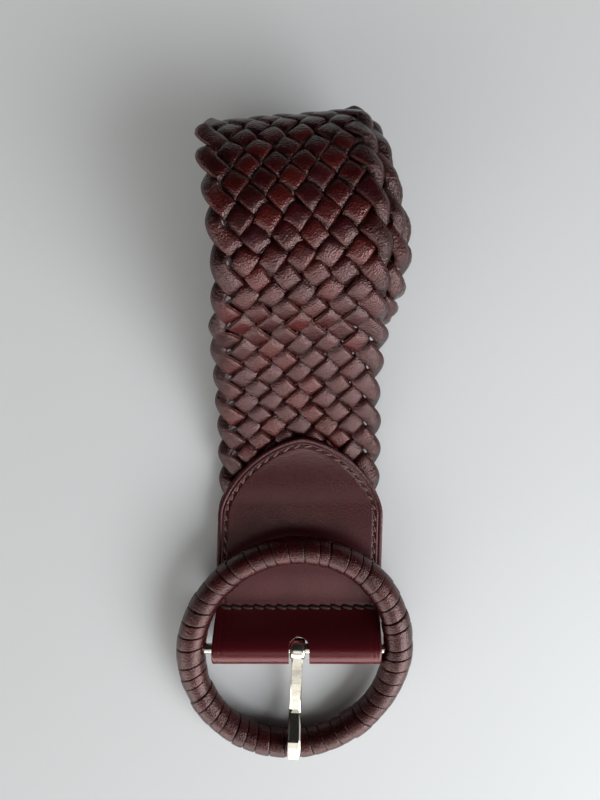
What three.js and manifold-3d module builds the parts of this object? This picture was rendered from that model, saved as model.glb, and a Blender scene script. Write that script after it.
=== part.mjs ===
// A wide braided leather belt, rolled up and lying on a flat surface with its buckle end laid out in front.
// Millimetres, +Z up. The origin is the centre of the buckle tab's flat underside, +Y runs along the strap
// from the buckle towards the roll, and X runs across the strap.
import * as THREE from 'three';
import { mergeVertices } from 'three/addons/utils/BufferGeometryUtils.js';
import Module from 'manifold-3d';

const wasm = await Module();
wasm.setup();

// The belt as it lies, from the front of the ring to the back of the roll.
const LAID_LENGTH = 222.4;

// Gap left between pieces that touch.
const GAP = 0.3;

// Braided strap. A pitch is the distance between two turns of strands at its edge.
const STRANDS = 12;
const STRAP_WIDTH = 60;
const STRAP_THICKNESS = 2.8;
const FIRST_TURN = 2;
const PITCH_AT_TAB = 10.7;
const PITCH_ON_ROLL = 11;
const SCALLOP_DEPTH = 1.2;
const WEAVE_RELIEF = 0.6;
const PLAIN_END = 12;

// Roll, an oval spiral seen from the side. It sags towards the surface, most at its foot.
const ROLL_LENGTH = 71.6;
const ROLL_HEIGHT = 58.8;
const ROLL_TURNS = 4.6;
const TURN_CLEARANCE = 0.5;
const ROLL_LEAVE_ANGLE = 160;
const ROLL_SKEW = 5;
const ROLL_SAG = 6;
const SAG_POWER = 1.5;
const FLOOR_CLEARANCE = 0.06;
const RAMP_TURNS = 0.45;
const RAMP_START_PULL = 0.29;
const RAMP_END_PULL = 0.23;

// How wide the strap is and how far the turns have slid sideways, as shares of its width, by turns wound.
// The ramp comes before turn 0.
const WIDTH_TABLE = [
  { turn: -0.45, width: 0.985, slide: -0.007 },
  { turn: -0.3, width: 0.972, slide: -0.018 },
  { turn: -0.19, width: 0.95, slide: -0.019 },
  { turn: -0.07, width: 0.957, slide: -0.003 },
  { turn: 0, width: 0.925, slide: -0.007 },
  { turn: 0.05, width: 0.885, slide: 0.008 },
  { turn: 0.12, width: 0.872, slide: 0.03 },
  { turn: 0.2, width: 0.862, slide: 0.02 },
  { turn: 0.3, width: 0.862, slide: 0.003 },
  { turn: 0.45, width: 0.862, slide: 0 },
  { turn: 0.95, width: 0.862, slide: 0.08 },
  { turn: 1.1, width: 0.862, slide: 0.12 },
  { turn: 1.35, width: 0.862, slide: 0.06 },
  { turn: 1.95, width: 0.862, slide: 0.1 },
  { turn: 2.1, width: 0.862, slide: 0.155 },
  { turn: 2.35, width: 0.862, slide: 0.065 },
  { turn: 4.6, width: 0.862, slide: 0.12 },
];

// How far the belt's middle lies to the right, by how far along it is. Shares of the distance to the roll.
const LEAN_TABLE = [
  { along: -0.3, lean: -0.011 },
  { along: 0.4, lean: 0.009 },
  { along: 0.55, lean: 0 },
  { along: 0.75, lean: 0 },
  { along: 1.35, lean: -0.051 },
];

// Buckle tab, one leather piece folded round the bar with the strap's end between its two layers.
const TAB_LEATHER = 2;
const TAB_WIDTH = 59.8;
const TAB_FLAT = 36;
const TAB_LENGTH = 63.3;
const TAB_ARCH = 30.8;
const TAB_ARCH_POWER = 1.58;
const STITCH_TO_BAR = 14.9;
const FOLD_START = 62;
const FOLD_END = 284;
const LOOP_CLEARANCE = 1.3;
const SLOT_CLEARANCE = 0.95;
const SLOT_SLIDE = -0.3;

// Buckle: a round metal ring with a bar across it, and leather wound round the ring. It rests on the tab a
// little more than the usual gap above it.
const RING_DIAMETER = 83.4;
const RING_REST = 0.42;
const RING_SLIDE = -2;
const RING_OVAL = 0.055;
const WRAP_RADIUS = 4.8;
const WRAP_LEATHER = 1.3;
const WRAP_TURNS = 48;
const WRAP_STEP = 0.4;
const SEAM_SHARE = 0.16;
const WRAP_BULGE = 0.5;
const BULGE_SPREAD = 0.3;
const BAR_RADIUS = 1.8;

// Prong. Its side view, along in shares of the ring's radius, low and high in shares of the wrap's radius.
const PRONG_WIDTH = 4.9;
const EYE_WIDTH = 5.4;
const EYE_WALL = 1.5;
const EYE_CLEARANCE = 0.4;
const PRONG_BEVEL = 0.7;
const BEVEL_DEPTH = 0.56;
const PRONG_SLIDE = 1.15;
const PRONG_YAW = -2.3;
const PRONG_TABLE = [
  { along: 0.05, low: -0.25, high: 0.42 },
  { along: 0.24, low: -0.12, high: 0.42 },
  { along: 0.7, low: -0.08, high: 0.46 },
  { along: 0.89, low: 0.8, high: 1.4 },
  { along: 0.95, low: 1.0, high: 1.66 },
  { along: 1.02, low: 1.09, high: 1.58 },
  { along: 1.05, low: 1.15, high: 1.4 },
];

// Steps that curves are divided into.
const ARCH_ROWS = 9;
const FOLD_ROWS = 14;
const CORE_SIDES = 6;
const WRAP_SIDES = 8;
const ROUND_SIDES = 12;

// Levels of the layers in the flat stretch of the tab, from the surface up.
const strapLevel = TAB_LEATHER + GAP + STRAP_THICKNESS / 2;
const tabTop = 2 * strapLevel;
const layerOffset = STRAP_THICKNESS / 2 + GAP + TAB_LEATHER / 2;

// The ring rests on the surface at its front and on the tab's two edges behind the bar, so it is tilted.
const ringRadius = RING_DIAMETER / 2 - WRAP_RADIUS;
const edgeCrossing = Math.sqrt(ringRadius ** 2 - (TAB_WIDTH / 2 + Math.abs(RING_SLIDE)) ** 2);
const ringTilt = Math.asin((tabTop + RING_REST) / (ringRadius + edgeCrossing));
const barLevel = WRAP_RADIUS + ringRadius * Math.sin(ringTilt);
const stitchPlace = -TAB_FLAT / 2;
const barPlace = stitchPlace - STITCH_TO_BAR;
const tabToRoll = LAID_LENGTH - ROLL_LENGTH / 2 - RING_DIAMETER / 2 + barPlace;
const rollStep = STRAP_THICKNESS + TURN_CLEARANCE;

// The room round the bar and the prong's eye.
const loopRadius = BAR_RADIUS + LOOP_CLEARANCE;
const eyeInner = BAR_RADIUS + EYE_CLEARANCE;
const eyeOuter = eyeInner + EYE_WALL;
const slotWidth = EYE_WIDTH + 2 * SLOT_CLEARANCE;
const slotReach = eyeOuter + 1.5 * SLOT_CLEARANCE;

const smooth = (t) => THREE.MathUtils.smoothstep(t, 0, 1);

// The value of one column of a table, between the rows on either side of a place.
function readTable(table, key, column, at) {
  if (at <= table[0][key]) return table[0][column];
  const next = table.findIndex((row) => row[key] >= at);
  if (next < 0) return table.at(-1)[column];
  const [low, high] = [table[next - 1], table[next]];
  return THREE.MathUtils.mapLinear(at, low[key], high[key], low[column], high[column]);
}

// The spiral of the roll's middle line, from where the strap leaves it, over the top, and inwards.
class RollCurve extends THREE.Curve {
  constructor() {
    super();
    this.arcLengthDivisions = 1600;
    const turnsToTop = (ROLL_LEAVE_ANGLE - 90) / 360;
    const turnsToFloor = (ROLL_LEAVE_ANGLE + 90) / 360;
    this.halfHeight = (ROLL_HEIGHT + rollStep * (turnsToTop + turnsToFloor)) / 2;
    this.middleLevel = this.halfHeight - rollStep * turnsToFloor + FLOOR_CLEARANCE;
  }
  getPoint(t, target = new THREE.Vector3()) {
    const wound = t * ROLL_TURNS;
    const angle = THREE.MathUtils.degToRad(ROLL_LEAVE_ANGLE) - wound * 2 * Math.PI;
    const inward = STRAP_THICKNESS / 2 + wound * rollStep;
    const along = ROLL_LENGTH / 2 - inward;
    const up = this.halfHeight - inward;
    const radius = 1 / Math.hypot(Math.cos(angle) / along, Math.sin(angle) / up);
    const level = this.middleLevel + radius * Math.sin(angle);
    const sag = ROLL_SAG * Math.max(0, 1 - level / this.middleLevel) ** SAG_POWER;
    return target.set(0, tabToRoll + radius * Math.cos(angle) - sag, level);
  }
}

// The strap's middle line: flat in the tab, up the ramp, then round the roll to the free tip.
function makeStrapPath() {
  const roll = new RollCurve();
  const leave = roll.getPoint(0);
  const leaveDirection = roll.getTangent(0).negate();
  const flatStart = new THREE.Vector3(0, stitchPlace, strapLevel);
  const flatEnd = new THREE.Vector3(0, TAB_FLAT / 2, strapLevel);
  const reach = leave.distanceTo(flatEnd);
  const ramp = new THREE.CubicBezierCurve3(
    flatEnd,
    new THREE.Vector3(0, flatEnd.y + RAMP_START_PULL * reach, strapLevel),
    leave.clone().addScaledVector(leaveDirection, RAMP_END_PULL * reach),
    leave,
  );
  const path = new THREE.CurvePath();
  path.add(new THREE.LineCurve3(flatStart, flatEnd));
  path.add(ramp);
  path.add(roll);
  return path;
}

const strapPath = makeStrapPath();
const [flatLength, rampEnd, pathLength] = strapPath.getCurveLengths();

// Turns wound round the roll at a place along the strap, negative on the ramp.
function turnsAt(place) {
  if (place < rampEnd) return (RAMP_TURNS * (place - rampEnd)) / (rampEnd - flatLength);
  const roll = strapPath.curves[2];
  return roll.getUtoTmapping(Math.min(1, (place - rampEnd) / (pathLength - rampEnd))) * ROLL_TURNS;
}

const onRamp = (place) => smooth((place - flatLength) / (rampEnd - flatLength));
const pitchAt = (place) => THREE.MathUtils.lerp(PITCH_AT_TAB, PITCH_ON_ROLL, onRamp(place));
const widthAt = (place) => STRAP_WIDTH * readTable(WIDTH_TABLE, 'turn', 'width', turnsAt(place));
const slideAt = (place) => STRAP_WIDTH * readTable(WIDTH_TABLE, 'turn', 'slide', turnsAt(place));
const leanAt = (along) => tabToRoll * readTable(LEAN_TABLE, 'along', 'lean', along / tabToRoll);

// A point at a place along the strap, so far across it and so far out from its middle surface, before the
// turns slide sideways.
function strapPoint(place, across, out) {
  const share = THREE.MathUtils.clamp(place / pathLength, 0, 1);
  const middle = strapPath.getPoint(share);
  const step = 0.2 / pathLength;
  const ahead = strapPath.getPoint(Math.min(1, share + step));
  const behind = strapPath.getPoint(Math.max(0, share - step));
  const direction = ahead.sub(behind).normalize();
  const skew = Math.tan(THREE.MathUtils.degToRad(ROLL_SKEW)) * onRamp(place);
  const along = middle.y - direction.z * out + skew * across;
  return new THREE.Vector3(
    leanAt(along) + across,
    along,
    middle.z + direction.y * out,
  );
}

// A closed solid through rings of points, all with the same count. splitsLow says which way each four-sided
// face is divided. The ends are closed by fans from their middles, or else the last ring joins the first.
function loft(rings, { splitsLow = () => false, joinEnds = false } = {}) {
  const size = rings[0].length;
  const points = rings.flat();
  const triangles = [];
  const last = joinEnds ? rings.length : rings.length - 1;
  for (let ring = 0; ring < last; ring += 1) {
    const next = (ring + 1) % rings.length;
    for (let side = 0; side < size; side += 1) {
      const a = ring * size + side;
      const b = ring * size + ((side + 1) % size);
      const c = next * size + ((side + 1) % size);
      const d = next * size + side;
      if (splitsLow(ring, side)) triangles.push(a, b, d, b, c, d);
      else triangles.push(a, b, c, a, c, d);
    }
  }
  if (!joinEnds) {
    const ends = [
      { ring: 0, turn: 1 },
      { ring: rings.length - 1, turn: 0 },
    ];
    for (const { ring, turn } of ends) {
      const hub = points.length;
      const middle = new THREE.Vector3();
      rings[ring].forEach((point) => middle.addScaledVector(point, 1 / size));
      points.push(middle);
      for (let side = 0; side < size; side += 1) {
        const a = ring * size + side;
        const b = ring * size + ((side + 1) % size);
        triangles.push(...(turn ? [hub, b, a] : [hub, a, b]));
      }
    }
  }
  const geometry = new THREE.BufferGeometry().setFromPoints(points);
  geometry.setIndex(triangles);
  return geometry;
}

// manifold-3d solids, used only to join and cut.
function toSolid(geometry) {
  const bare = geometry.clone();
  bare.deleteAttribute('normal');
  bare.deleteAttribute('uv');
  const merged = mergeVertices(bare, 1e-4);
  const mesh = new wasm.Mesh({
    numProp: 3,
    vertProperties: new Float32Array(merged.attributes.position.array),
    triVerts: new Uint32Array(merged.index.array),
  });
  mesh.merge();
  return new wasm.Manifold(mesh);
}

function fromSolid(solid) {
  const mesh = solid.getMesh();
  const geometry = new THREE.BufferGeometry();
  const positions = new THREE.BufferAttribute(new Float32Array(mesh.vertProperties), 3);
  geometry.setAttribute('position', positions);
  geometry.setIndex(new THREE.BufferAttribute(new Uint32Array(mesh.triVerts), 1));
  return geometry;
}

const leatherDark = { roughness: 0.42, metalness: 0 };
const materials = {
  braid: new THREE.MeshStandardMaterial({ color: 0x4a1a18, ...leatherDark }),
  tab: new THREE.MeshStandardMaterial({ color: 0x45191a, ...leatherDark }),
  wrap: new THREE.MeshStandardMaterial({ color: 0x4e1e1b, ...leatherDark }),
  metal: new THREE.MeshStandardMaterial({ color: 0xd8d2c0, roughness: 0.16, metalness: 1 }),
};

function makeMesh(name, geometry, material) {
  geometry.computeVertexNormals();
  const mesh = new THREE.Mesh(geometry, material);
  mesh.name = name;
  return mesh;
}

// The braided strap. Its outer face has a low pyramid at each crossing of two strands, and its edges are
// scalloped where the strands turn back. The inner face, against the next turn, is plain, and so is the end.
function makeStrap() {
  const rings = [];
  const places = [0, FIRST_TURN];
  while (places.at(-1) + pitchAt(places.at(-1)) / 2 < pathLength - PLAIN_END) {
    places.push(places.at(-1) + pitchAt(places.at(-1)) / 2);
  }
  places.push(pathLength - PLAIN_END / 2, pathLength);
  places.forEach((place, row) => {
    const isPlain = row === 0 || place > pathLength - PLAIN_END;
    const isNotch = row % 2 === 0;
    const half = widthAt(place) / 2 - (isNotch || isPlain ? SCALLOP_DEPTH : 0);
    const ring = [];
    for (let column = 0; column <= STRANDS; column += 1) {
      const isCrossing = (row + column) % 2 === 1;
      const out = STRAP_THICKNESS / 2 - (isCrossing || isPlain ? 0 : WEAVE_RELIEF);
      const across = half * ((2 * column) / STRANDS - 1);
      ring.push(strapPoint(place, across, out));
    }
    ring.push(strapPoint(place, half, -STRAP_THICKNESS / 2));
    ring.push(strapPoint(place, -half, -STRAP_THICKNESS / 2));
    ring.forEach((point) => point.setX(point.x + slideAt(place)));
    rings.push(ring);
  });
  const geometry = loft(rings, { splitsLow: (row, column) => (row + column) % 2 === 1 });
  return makeMesh('braided_strap', geometry, materials.braid);
}

// The half width of the tab's pointed arch, so far in from its apex.
function archHalfWidth(fromApex) {
  const rise = 1 - Math.min(1, Math.max(0, fromApex / TAB_ARCH));
  return (TAB_WIDTH / 2) * (1 - rise ** TAB_ARCH_POWER) ** (1 / TAB_ARCH_POWER);
}

// The tab: along the strap's face from the apex, round the bar, and back along the strap's other face.
function makeTab() {
  const half = TAB_LEATHER / 2;
  const layer = (side) => {
    const stations = [];
    for (let row = 0; row <= ARCH_ROWS; row += 1) {
      const fromApex = TAB_ARCH * Math.max(0.01, row / ARCH_ROWS) ** 2;
      stations.push({ place: TAB_LENGTH - fromApex, width: archHalfWidth(fromApex) });
    }
    stations.push({ place: 0, width: TAB_WIDTH / 2 });
    return stations.map(({ place, width }) => ({
      width,
      outer: strapPoint(place, 0, side * (layerOffset + half)),
      inner: strapPoint(place, 0, side * (layerOffset - half)),
    }));
  };
  const bar = new THREE.Vector3(leanAt(barPlace), barPlace, barLevel);
  const fold = [];
  for (let row = 0; row <= FOLD_ROWS; row += 1) {
    const angle = THREE.MathUtils.degToRad(THREE.MathUtils.lerp(FOLD_START, FOLD_END, row / FOLD_ROWS));
    const ray = new THREE.Vector3(0, Math.cos(angle), Math.sin(angle));
    fold.push({
      width: TAB_WIDTH / 2,
      outer: bar.clone().addScaledVector(ray, loopRadius + TAB_LEATHER),
      inner: bar.clone().addScaledVector(ray, loopRadius),
    });
  }
  const stations = [...layer(1), ...fold, ...layer(-1).reverse()];
  const sideways = (point, distance) => point.clone().setX(point.x + distance);
  const rings = stations.map(({ width, outer, inner }) => [
    sideways(outer, width),
    sideways(outer, -width),
    sideways(inner, -width),
    sideways(inner, width),
  ]);
  const slot = makeSlot().translate(SLOT_SLIDE, bar.y, 0);
  const tab = toSolid(loft(rings)).subtract(toSolid(slot));
  return makeMesh('buckle_tab', fromSolid(tab), materials.tab);
}

// The slot for the prong, cut straight down through both sides of the fold, with a round end.
function makeSlot() {
  const radius = slotWidth / 2;
  const front = -(loopRadius + 2 * TAB_LEATHER);
  const outline = new THREE.Shape()
    .moveTo(-radius, front)
    .lineTo(radius, front)
    .absarc(0, slotReach - radius, radius, 0, Math.PI);
  const depth = 2 * barLevel;
  return new THREE.ExtrudeGeometry(outline, { depth, bevelEnabled: false, curveSegments: 8 });
}

// A point on a tube round the ring, in the ring's own plane about the bar. The ring is a little oval.
function ringPoint(around, tube, radius) {
  const reach = ringRadius + radius * Math.cos(tube);
  const along = reach * Math.sin(around);
  return new THREE.Vector3(reach * Math.cos(around) + RING_OVAL * along, along, radius * Math.sin(tube));
}

function ringTube(radius) {
  const rings = [];
  for (let row = 0; row < WRAP_TURNS; row += 1) {
    const ring = [];
    for (let side = 0; side < CORE_SIDES; side += 1) {
      const around = (row / WRAP_TURNS) * 2 * Math.PI;
      ring.push(ringPoint(around, (-side / CORE_SIDES) * 2 * Math.PI, radius));
    }
    rings.push(ring);
  }
  return loft(rings, { joinEnds: true });
}

function makeCore() {
  const ring = toSolid(ringTube(WRAP_RADIUS - WRAP_LEATHER - GAP));
  const bar = new THREE.CylinderGeometry(BAR_RADIUS, BAR_RADIUS, 2 * ringRadius, ROUND_SIDES);
  bar.rotateZ(Math.PI / 2);
  return makeMesh('buckle_core', fromSolid(ring.add(toSolid(bar))), materials.metal);
}

// The wound leather. Each turn starts on top of the turn before it, which leaves a step at every seam.
// It is thicker at the bar's ends, where the turns cross.
function makeWrap() {
  const sides = WRAP_SIDES;
  const rowsPerTurn = 2;
  const rows = WRAP_TURNS * rowsPerTurn;
  const points = [];
  for (let row = 0; row < rows; row += 1) {
    const isTrough = row % rowsPerTurn === 1;
    const turn = Math.floor(row / rowsPerTurn) + (isTrough ? 1 - SEAM_SHARE : 0);
    for (let side = 0; side < sides; side += 1) {
      const around = ((turn + side / sides) / WRAP_TURNS) * 2 * Math.PI;
      const bulge = WRAP_BULGE * Math.exp(-((Math.sin(around) / BULGE_SPREAD) ** 2));
      const radius = WRAP_RADIUS + bulge - (isTrough ? WRAP_STEP : 0);
      points.push(ringPoint(around, (-side / sides) * 2 * Math.PI, radius));
    }
  }
  // Past its last side, a row goes on as the row one turn further round.
  const indexOf = (row, side) => {
    const carried = side === sides ? row + rowsPerTurn : row;
    return (carried % rows) * sides + (side % sides);
  };
  const triangles = [];
  for (let row = 0; row < rows; row += 1) {
    for (let side = 0; side < sides; side += 1) {
      const [a, b] = [indexOf(row, side), indexOf(row, side + 1)];
      const [c, d] = [indexOf(row + 1, side + 1), indexOf(row + 1, side)];
      triangles.push(a, b, c, a, c, d);
    }
  }
  const outside = new THREE.BufferGeometry().setFromPoints(points);
  outside.setIndex(triangles);
  const hollow = toSolid(ringTube(WRAP_RADIUS - WRAP_LEATHER));
  const hole = new THREE.CylinderGeometry(BAR_RADIUS + GAP, BAR_RADIUS + GAP, 2 * ringRadius, ROUND_SIDES);
  hole.rotateZ(Math.PI / 2);
  const wrap = toSolid(outside).subtract(hollow).subtract(toSolid(hole));
  return makeMesh('ring_wrap', fromSolid(wrap), materials.wrap);
}

// A side view pushed out sideways to a width, with bevelled edges, lying along -Y.
function bevelledPlate(shape, width) {
  const plate = new THREE.ExtrudeGeometry(shape, {
    depth: width - 2 * PRONG_BEVEL,
    bevelSegments: 1,
    bevelSize: BEVEL_DEPTH,
    bevelOffset: -BEVEL_DEPTH,
    bevelThickness: PRONG_BEVEL,
    curveSegments: 8,
  });
  plate.translate(0, 0, PRONG_BEVEL - width / 2);
  plate.rotateX(Math.PI / 2);
  plate.rotateZ(-Math.PI / 2);
  return toSolid(plate);
}

// The prong: an eye round the bar, a shank that rises to the ring, and a tip over the ring.
function makeProng() {
  const eye = new THREE.Shape().absarc(0, 0, eyeOuter, 0, 2 * Math.PI);
  const side = (column) => PRONG_TABLE.map(
    (row) => new THREE.Vector2(row.along * ringRadius, row[column] * WRAP_RADIUS),
  );
  const shank = new THREE.Shape([...side('low'), ...side('high').reverse()]);
  const hole = new THREE.CylinderGeometry(eyeInner, eyeInner, 2 * EYE_WIDTH, ROUND_SIDES);
  hole.rotateZ(Math.PI / 2);
  const blank = bevelledPlate(eye, EYE_WIDTH).add(bevelledPlate(shank, PRONG_WIDTH));
  return makeMesh('prong', fromSolid(blank.subtract(toSolid(hole))), materials.metal);
}

const belt = new THREE.Group();
belt.add(makeStrap(), makeTab());

const buckle = new THREE.Group();
buckle.position.set(RING_SLIDE, barPlace, barLevel);
buckle.rotation.x = ringTilt;
const prong = makeProng();
prong.position.x = PRONG_SLIDE;
prong.rotation.z = THREE.MathUtils.degToRad(PRONG_YAW);
buckle.add(makeCore(), makeWrap(), prong);
belt.add(buckle);

export default belt;
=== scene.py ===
"""Looks for the braided belt: strands, stitched tab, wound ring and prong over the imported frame."""
import math

import bpy
import numpy as np
from mathutils import Matrix, Vector


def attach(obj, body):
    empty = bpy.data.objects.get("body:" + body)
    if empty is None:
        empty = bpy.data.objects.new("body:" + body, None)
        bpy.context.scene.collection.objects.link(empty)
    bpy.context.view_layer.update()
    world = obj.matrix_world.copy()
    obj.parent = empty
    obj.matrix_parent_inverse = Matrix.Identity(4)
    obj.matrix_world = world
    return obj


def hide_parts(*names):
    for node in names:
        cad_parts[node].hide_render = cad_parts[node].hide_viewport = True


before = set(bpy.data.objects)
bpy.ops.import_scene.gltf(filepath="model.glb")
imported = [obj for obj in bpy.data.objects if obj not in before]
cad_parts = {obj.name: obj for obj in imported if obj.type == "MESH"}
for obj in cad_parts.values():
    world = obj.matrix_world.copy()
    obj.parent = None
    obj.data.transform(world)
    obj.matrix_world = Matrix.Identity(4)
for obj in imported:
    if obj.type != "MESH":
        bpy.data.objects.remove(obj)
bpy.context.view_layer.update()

MM = 0.001
rng = np.random.RandomState(7)

# Sizes repeated from the CAD source, in millimetres.
STRANDS = 12
STRAP_WIDTH = 60
STRAP_THICKNESS = 2.8
ROLL_LENGTH = 71.6
ROLL_HEIGHT = 58.8
ROLL_TURNS = 4.6
ROLL_STEP = 3.3
ROLL_LEAVE_ANGLE = 160
ROLL_SKEW = 5
ROLL_SAG = 6
FLOOR_CLEARANCE = 0.06
RAMP_TURNS = 0.45
RAMP_START_PULL = 0.29
RAMP_END_PULL = 0.23
TAB_TO_ROLL = 112
TAB_LEATHER = 2
TAB_WIDTH = 59.8
TAB_FLAT = 36
TAB_LENGTH = 63.3
TAB_ARCH = 30.8
TAB_ARCH_POWER = 1.58
STITCH_TO_BAR = 14.9
FOLD_START = 62
FOLD_END = 284
LOOP_RADIUS = 3.1
SLOT_WIDTH = 7.3
SLOT_REACH = 5.125
SLOT_SLIDE = -0.3
RING_DIAMETER = 83.4
RING_REST = 0.42
RING_SLIDE = -2
RING_OVAL = 0.055
WRAP_RADIUS = 4.8
WRAP_LEATHER = 1.3
WRAP_TURNS = 48
WRAP_BULGE = 0.5
BULGE_SPREAD = 0.3
BAR_RADIUS = 1.8
EYE_WIDTH = 5.4
EYE_WALL = 1.5
PRONG_SLIDE = 1.15
PRONG_YAW = -2.3
GAP = 0.3

WIDTH_ROWS = np.array([
    (-0.45, 0.985, -0.007), (-0.3, 0.972, -0.018), (-0.19, 0.95, -0.019), (-0.07, 0.957, -0.003),
    (0, 0.925, -0.007), (0.05, 0.885, 0.008), (0.12, 0.872, 0.03), (0.2, 0.862, 0.02), (0.3, 0.862, 0.003),
    (0.45, 0.862, 0), (0.95, 0.862, 0.08), (1.1, 0.862, 0.12), (1.35, 0.862, 0.06), (1.95, 0.862, 0.1),
    (2.1, 0.862, 0.155), (2.35, 0.862, 0.065), (4.6, 0.862, 0.12),
])
LEAN_ROWS = np.array([(-0.3, -0.011), (0.4, 0.009), (0.55, 0), (0.75, 0), (1.35, -0.051)])
strap_level = TAB_LEATHER + GAP + STRAP_THICKNESS / 2
tab_top = 2 * strap_level
layer_offset = STRAP_THICKNESS / 2 + GAP + TAB_LEATHER / 2
ring_radius = RING_DIAMETER / 2 - WRAP_RADIUS
edge_crossing = math.sqrt(ring_radius ** 2 - (TAB_WIDTH / 2 + abs(RING_SLIDE)) ** 2)
ring_tilt = math.asin((tab_top + RING_REST) / (ring_radius + edge_crossing))
bar_level = WRAP_RADIUS + ring_radius * math.sin(ring_tilt)
stitch_place = -TAB_FLAT / 2
bar_place = stitch_place - STITCH_TO_BAR


# Camera, straight down over the part, as in the photograph. The photo is 800 pixels high.
SENSOR = 36
FOCAL_PIXELS = 601
PHOTO_PIXELS = 800
CAMERA_PLACE = (0, 0.056, 0.225)


def make_camera():
    data = bpy.data.cameras.new("camera")
    data.sensor_width = SENSOR
    data.lens = SENSOR * FOCAL_PIXELS / PHOTO_PIXELS
    data.clip_start = 0.01
    camera = bpy.data.objects.new("camera", data)
    bpy.context.collection.objects.link(camera)
    camera.location = CAMERA_PLACE
    bpy.context.scene.camera = camera


make_camera()


def smooth(t):
    t = np.clip(t, 0, 1)
    return t * t * (3 - 2 * t)


FLAT_SAMPLES = 200
RAMP_SAMPLES = 4001
ROLL_SAMPLES = 24001


# The strap's middle line as a dense table by place along it.
def make_path():
    to_top = (ROLL_LEAVE_ANGLE - 90) / 360
    to_floor = (ROLL_LEAVE_ANGLE + 90) / 360
    half_height = (ROLL_HEIGHT + ROLL_STEP * (to_top + to_floor)) / 2
    middle_level = half_height - ROLL_STEP * to_floor + FLOOR_CLEARANCE

    def roll_point(t):
        wound = t * ROLL_TURNS
        angle = math.radians(ROLL_LEAVE_ANGLE) - wound * 2 * math.pi
        inward = STRAP_THICKNESS / 2 + wound * ROLL_STEP
        along = ROLL_LENGTH / 2 - inward
        up = half_height - inward
        radius = 1 / np.hypot(np.cos(angle) / along, np.sin(angle) / up)
        level = middle_level + radius * np.sin(angle)
        sag = ROLL_SAG * np.maximum(0, 1 - level / middle_level) ** 1.5
        return np.stack([TAB_TO_ROLL + radius * np.cos(angle) - sag, level], axis=-1)

    t_roll = np.linspace(0, 1, ROLL_SAMPLES)
    roll = roll_point(t_roll)
    leave = roll[0]
    heading = roll[0] - roll_point(np.array([1e-5]))[0]
    heading = heading / np.linalg.norm(heading)
    flat_end = np.array([TAB_FLAT / 2, strap_level])
    reach = np.linalg.norm(leave - flat_end)
    p1 = flat_end + np.array([RAMP_START_PULL * reach, 0])
    p2 = leave + heading * RAMP_END_PULL * reach
    t = np.linspace(0, 1, RAMP_SAMPLES)[:, None]
    ramp = (1 - t) ** 3 * flat_end + 3 * (1 - t) ** 2 * t * p1 + 3 * (1 - t) * t ** 2 * p2 + t ** 3 * leave
    flat_y = np.linspace(-TAB_FLAT / 2, TAB_FLAT / 2, FLAT_SAMPLES)
    flat = np.stack([flat_y, np.full(FLAT_SAMPLES, strap_level)], axis=-1)
    points = np.concatenate([flat, ramp[1:], roll[1:]])
    lengths = np.concatenate([[0], np.cumsum(np.linalg.norm(np.diff(points, axis=0), axis=1))])
    tangents = np.gradient(points, lengths, axis=0)
    tangents /= np.linalg.norm(tangents, axis=1)[:, None]
    before_roll = FLAT_SAMPLES + RAMP_SAMPLES - 1
    ramp_end = lengths[before_roll - 1]
    turns = np.concatenate([
        RAMP_TURNS * (lengths[:before_roll] - ramp_end) / (ramp_end - TAB_FLAT),
        t_roll[1:] * ROLL_TURNS,
    ])
    return lengths, points, tangents, turns, ramp_end


path_at, path_points, path_tangents, path_turns, ramp_end = make_path()
path_length = path_at[-1]


def on_ramp(place):
    return smooth((place - TAB_FLAT) / (ramp_end - TAB_FLAT))


def turns_at(place):
    return np.interp(place, path_at, path_turns)


def width_at(place):
    return STRAP_WIDTH * np.interp(turns_at(place), WIDTH_ROWS[:, 0], WIDTH_ROWS[:, 1])


def slide_at(place):
    return STRAP_WIDTH * np.interp(turns_at(place), WIDTH_ROWS[:, 0], WIDTH_ROWS[:, 2])


def lean_at(along):
    return TAB_TO_ROLL * np.interp(along / TAB_TO_ROLL, LEAN_ROWS[:, 0], LEAN_ROWS[:, 1])


# A point at a place along the strap, so far across it and so far out from its middle surface.
def strap_point(place, across, out, skewed=True):
    place = np.clip(place, 0, path_length)
    y = np.interp(place, path_at, path_points[:, 0])
    z = np.interp(place, path_at, path_points[:, 1])
    dy = np.interp(place, path_at, path_tangents[:, 0])
    dz = np.interp(place, path_at, path_tangents[:, 1])
    size = np.hypot(dy, dz)
    dy, dz = dy / size, dz / size
    skew = math.tan(math.radians(ROLL_SKEW)) * on_ramp(place) if skewed else 0
    along = y - dz * out + skew * across
    x = lean_at(along if skewed else y - dz * out) + across
    if skewed:
        x = x + slide_at(place)
    return np.stack(np.broadcast_arrays(x, along, z + dy * out), axis=-1)


# Mesh from numpy points in millimetres, with float attributes kept by point.
def make_mesh(name, points, faces, attributes=None, smooth_faces=True):
    mesh = bpy.data.meshes.new(name)
    mesh.from_pydata((np.asarray(points) * MM).tolist(), [], [list(map(int, f)) for f in faces])
    for key, values in (attributes or {}).items():
        layer = mesh.attributes.new(key, "FLOAT", "POINT")
        layer.data.foreach_set("value", np.asarray(values, dtype=np.float32).ravel())
    mesh.validate()
    mesh.polygons.foreach_set("use_smooth", [smooth_faces] * len(mesh.polygons))
    mesh.update()
    obj = bpy.data.objects.new(name, mesh)
    bpy.context.collection.objects.link(obj)
    return obj


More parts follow.
